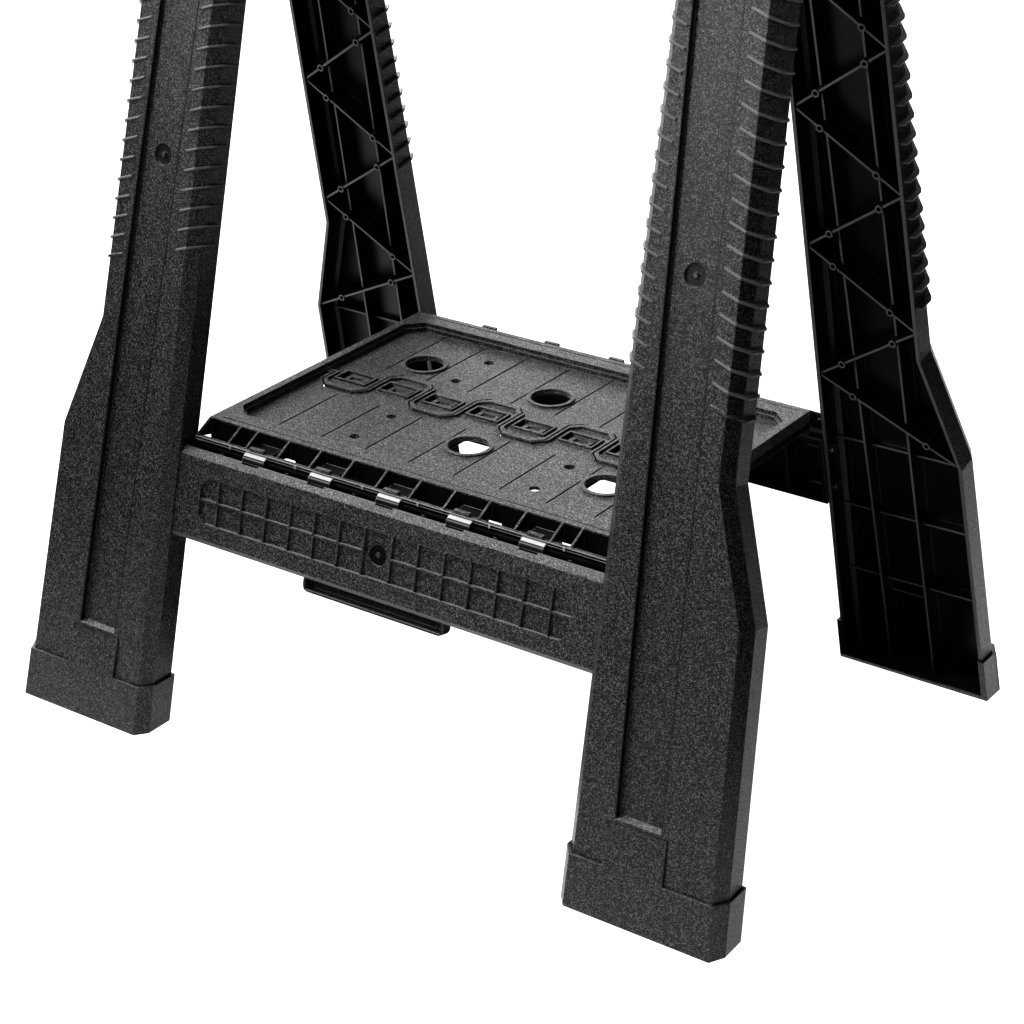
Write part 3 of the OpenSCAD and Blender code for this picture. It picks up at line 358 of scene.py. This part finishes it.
def plastic(name, base, rough, grain=0.3, speck=1.0, specular=0.4, zones=None,
            hollow_rough=0.35, hollow_edge_highlight=0.0, light=HIGHLIGHT_GREY):
    """Black moulded plastic: pebbled skin with painted glints and painted shade on its grain, flow
    marks, painted highlights on the edges, light dust and scuffs.

    zones makes the piece's own masks: its hollow, painted dark as shade, where highlights are
    painted, and a crease painted dark as shade."""
    g = Graph(name)
    normal, at_edge = rounded(g)
    pebble = g.cells(GRAIN_SCALE, GRAIN_SMOOTH)
    fine = g.noise(FINE_SCALE, 3.0, 0.65)
    height = g.plus(g.times(pebble, GRAIN_PART), g.times(fine, FINE_PART))
    flow = g.noise(FLOW_SCALE, 3.0, 0.55, vector=g.stretched(*FLOW_STRETCH))
    cloud = g.spread(flow, *FLOW)
    high = g.spread(height, *GRAIN_TOP_GLINT)
    low = g.spread(height, *GRAIN_PIT_SHADE)
    scuff = g.noise(SCUFF_SCALE, 4.0, 0.7, vector=g.stretched(*SCUFF_STRETCH))
    scuffs = g.times(g.spread(scuff, *SCUFF), g.spread(flow, *SCUFF_PLACE))
    dust = g.noise(DUST_SCALE, 1.0)
    dusty = g.times(g.spread(dust, *DUST), g.spread(g.noise(DUST_PLACE_SCALE), *DUST_PLACE))
    colour = g.mix(cloud, grey(base * 0.8), grey(base * 1.2))
    # painted highlights on the grain's tops, painted shade in its pits and painted glints on
    # scattered grains
    colour = g.mix(g.times(high, 0.6 * speck), colour, grey(base * 6.0))
    colour = g.mix(g.times(low, 0.9 * speck), colour, grey(base * 0.1))
    grain_glints = g.times(g.grain_glints(GRAIN_SCALE, GRAIN_GLINT_POWER), speck)
    colour = g.mix(grain_glints, colour, grey(base * GRAIN_GLINT_LIFT))
    colour = g.mix(g.times(scuffs, SCUFF_PART), colour, grey(SCUFF_GREY))
    colour = g.mix(g.times(dusty, DUST_PART), colour, grey(DUST_GREY))
    # painted highlight along every edge
    colour = g.mix(g.times(at_edge, EDGE_HIGHLIGHT_PART), colour, grey(base * EDGE_HIGHLIGHT_GREY))
    roughness = g.spread(height, 0.5, 1.1, rough + ROUGH_SPAN, rough - ROUGH_SPAN)
    roughness = g.plus(roughness, g.times(cloud, ROUGH_FLOW))
    strength = grain
    if zones is not None:
        hollow, painted_highlight, crease = zones(g)
        # the hollow painted dark as shade, with painted highlights on its edges
        deep = g.mix(cloud, grey(HOLLOW_SHADE), grey(HOLLOW_SHADE * 2.0))
        deep = g.mix(at_edge, deep, grey(max(hollow_edge_highlight, HOLLOW_SHADE)))
        colour = g.mix(hollow, colour, deep)
        # painted highlights on fins, rib edges, ledges, rail and clips
        colour = g.mix(painted_highlight, colour, grey(light))
        # the crease painted dark as shade
        if crease is not None:
            colour = g.mix(g.times(crease, CREASE_SHADE_PART), colour, grey(CREASE_SHADE))
        roughness = g.mix(hollow, roughness, hollow_rough, "FLOAT")
        strength = g.spread(hollow, 0.0, 1.0, grain, HOLLOW_BUMP)
    g.put(g.shader.inputs["Base Color"], colour)
    g.put(g.shader.inputs["Roughness"], roughness)
    g.shader.inputs["Specular IOR Level"].default_value = specular
    g.put(g.shader.inputs["Normal"], g.bump(height, strength, BUMP_HEIGHT, normal))
    return g.mat


def steel(name, base=0.45, rough=0.3):
    """Drawn steel rod: fine marks along its length and a little tarnish."""
    g = Graph(name)
    marks = g.noise(1500.0, 3.0, 0.6, vector=g.stretched(0.02, 1.0, 1.0))
    tarnish = g.spread(g.noise(60.0, 3.0, 0.6), 0.45, 0.7)
    g.put(g.shader.inputs["Base Color"], g.mix(tarnish, grey(base), grey(base * 0.55, 0.05)))
    g.shader.inputs["Metallic"].default_value = 1.0
    g.put(g.shader.inputs["Roughness"], g.spread(marks, 0.3, 0.7, rough - 0.08, rough + 0.12))
    g.put(g.shader.inputs["Normal"], g.bump(marks, 0.25, 0.0001))
    return g.mat


# The finish of each material slot in the record: base grey, roughness and what is its own
FINISH = {
    "leg_plastic": plastic("leg_plastic_skin", 0.0026, 0.30, zones=leg_zones, hollow_edge_highlight=0.02),
    "bar_plastic": plastic("bar_plastic_skin", 0.003, 0.30, zones=bar_zones, hollow_edge_highlight=0.06),
    "beam_plastic": plastic("beam_plastic_skin", 0.003, 0.30),
    "foot_plastic": plastic("foot_plastic_skin", 0.0026, 0.32),
    "grip_plastic": plastic("grip_plastic_skin", 0.006, 0.28, grain=0.15, speck=0.2),
    "tray_plastic": plastic("tray_plastic_skin", 0.008, 0.42, grain=0.6, speck=0.55,
                            specular=0.22, zones=tray_zones, hollow_rough=0.55,
                            hollow_edge_highlight=0.25, light=0.35),
    "rod": steel("rod_steel", 0.004, 0.5),
    "pin": steel("pin_steel"),
    "screw": steel("screw_steel", 0.35, 0.35),
}

# ---------------------------------------------------------------- rounded edges
# Width of the rounding by the last word of a node's name, in metres
EDGES = {"leg": 0.00025, "beam": 0.0010, "foot": 0.0005, "grip": 0.0007}
MERGE = 0.00001
FLAT_ANGLE, EDGE_ANGLE = math.radians(0.5), math.radians(28.0)
EDGE_SEGMENTS = 2
FACE_WEIGHT = 100


def edge(obj, width):
    """Rounded edges on a CAD solid, as modifiers."""
    weld = obj.modifiers.new("weld", "WELD")
    weld.merge_threshold = MERGE
    flat = obj.modifiers.new("flat", "DECIMATE")
    flat.decimate_type = "DISSOLVE"
    flat.angle_limit = FLAT_ANGLE
    bevel = obj.modifiers.new("edge", "BEVEL")
    bevel.width = width
    bevel.segments = EDGE_SEGMENTS
    bevel.limit_method = "ANGLE"
    bevel.angle_limit = EDGE_ANGLE
    bevel.use_clamp_overlap = False
    even = obj.modifiers.new("even", "WEIGHTED_NORMAL")
    even.weight = FACE_WEIGHT
    even.keep_sharp = True


for name, obj in nodes.items():
    slot = obj.material_slots[0]
    slot.material = FINISH[slot.material.name.split(".")[0]]
    for word, width in EDGES.items():
        if name.endswith(word):
            edge(obj, width)

# ---------------------------------------------------------------- floor, light and camera
FLOOR_SIZE, FLOOR_GLOW = 6.0, 0.95
CARD_X = 0.52                           # the upright cards stand this far to the right
CARD_LOW, CARD_MIDDLE, CARD_TOP = 0.02, 0.55, 1.6
CARD_NEAR, CARD_SPLIT, CARD_FAR = -0.55, 0.1, 2.2
LYING = 0.003                           # height of a card that lies on the floor
DARK, DIM, PALE = 0.01, 0.02, 0.2       # shades of the cards
AMBIENT = 0.08


def plane(name, corners, material, seen):
    """A sheet with four corners that isn't part of the object."""
    mesh = bpy.data.meshes.new(name)
    mesh.from_pydata(corners, [], [(0, 1, 2, 3)])
    mesh.materials.append(material)
    obj = bpy.data.objects.new(name, mesh)
    bpy.context.scene.collection.objects.link(obj)
    obj.visible_camera = seen


def floor():
    """A pale floor that glows a little, so that it is white all over."""
    g = Graph("floor_white")
    g.put(g.shader.inputs["Base Color"], g.mix(g.noise(3.0, 3.0), grey(0.10), grey(0.12)))
    g.put(g.shader.inputs["Roughness"], g.spread(g.noise(40.0), 0.3, 0.7, 0.75, 0.9))
    g.shader.inputs["Emission Color"].default_value = (1, 1, 1, 1)
    g.shader.inputs["Emission Strength"].default_value = FLOOR_GLOW
    far = FLOOR_SIZE
    plane("floor", [(-far, -far, 0), (far, -far, 0), (far, far, 0), (-far, far, 0)], g.mat, True)


def card(name, corners, shade):
    """A matt studio card, unseen by the camera, that shades what the object reflects."""
    g = Graph(name)
    g.put(g.shader.inputs["Base Color"], g.mix(g.noise(20.0), grey(shade), grey(shade * 1.5)))
    g.put(g.shader.inputs["Roughness"], g.spread(g.noise(60.0), 0.3, 0.7, 0.85, 0.95))
    plane(name, corners, g.mat, False)


def upright(y_from, y_to, low, high):
    """Corners of a card that stands to the right of the object."""
    ends = (y_from, low), (y_to, low), (y_to, high), (y_from, high)
    return [(CARD_X, y, z) for y, z in ends]


def lying(*points):
    """Corners of a card that lies on the floor."""
    return [(x, y, LYING) for x, y in points]


def area(name, place, aim, size, power):
    """A large soft lamp at place that faces aim."""
    lamp = bpy.data.lights.new(name, "AREA")
    lamp.shape = "RECTANGLE"
    lamp.size, lamp.size_y = size
    lamp.energy = power
    obj = bpy.data.objects.new(name, lamp)
    obj.location = place
    obj.visible_camera = False
    obj.rotation_mode = "QUATERNION"
    obj.rotation_quaternion = (Vector(aim) - Vector(place)).to_track_quat("-Z", "Y")
    bpy.context.scene.collection.objects.link(obj)


floor()
card("side_card", upright(CARD_SPLIT, CARD_FAR, CARD_LOW, CARD_TOP), DARK)
card("side_low_card", upright(CARD_NEAR, CARD_SPLIT, CARD_LOW, CARD_MIDDLE), DARK)
card("side_top_card", upright(CARD_NEAR, CARD_SPLIT, CARD_MIDDLE, CARD_TOP), PALE)
card("back_card", lying((0.2, 0.9), (CARD_X, 0.9), (CARD_X, CARD_FAR), (0.2, CARD_FAR)), DARK)
card("front_card",
     [(-1.85, -0.6, 0), (0.11, -2.0, 0), (0.11, -2.0, 0.95), (-1.85, -0.6, 0.95)], DIM)
card("low_card", lying((-0.25, -0.12), (0.27, -0.12), (0.27, 0.6), (-0.25, 0.6)), DARK)
card("near_card", lying((-1.85, -0.6), (0.11, -2.0), (0.35, -0.75), (-0.7, -0.32)), DARK)
area("key", (-1.1, -2.5, 1.5), (0, 0, 0.5), (0.9, 0.8), 60)
area("back", (-1.8, 2.5, 1.6), (0, 0, 0.2), (2.4, 1.8), 60)
area("over", (-1.3, -0.3, 2.4), (0, 0, 0.3), (2.0, 2.4), 150)
world = bpy.data.worlds.new("studio")
world.use_nodes = True
world.node_tree.nodes["Background"].inputs[0].default_value = (1, 1, 1, 1)
world.node_tree.nodes["Background"].inputs[1].default_value = AMBIENT
bpy.context.scene.world = world
bpy.context.scene.view_settings.view_transform = "Standard"
bpy.context.scene.view_settings.look = "High Contrast"

# The photograph's viewing angle
lens = bpy.data.cameras.new("camera")
lens.lens = 85.6
lens.sensor_width = 36.0
camera = bpy.data.objects.new("camera", lens)
camera.location = (0.9273, -1.3196, 0.9316)
camera.rotation_euler = Euler([math.radians(a) for a in (64.1115, 0.3439, 34.9102)])
bpy.context.scene.collection.objects.link(camera)
bpy.context.scene.camera = camera
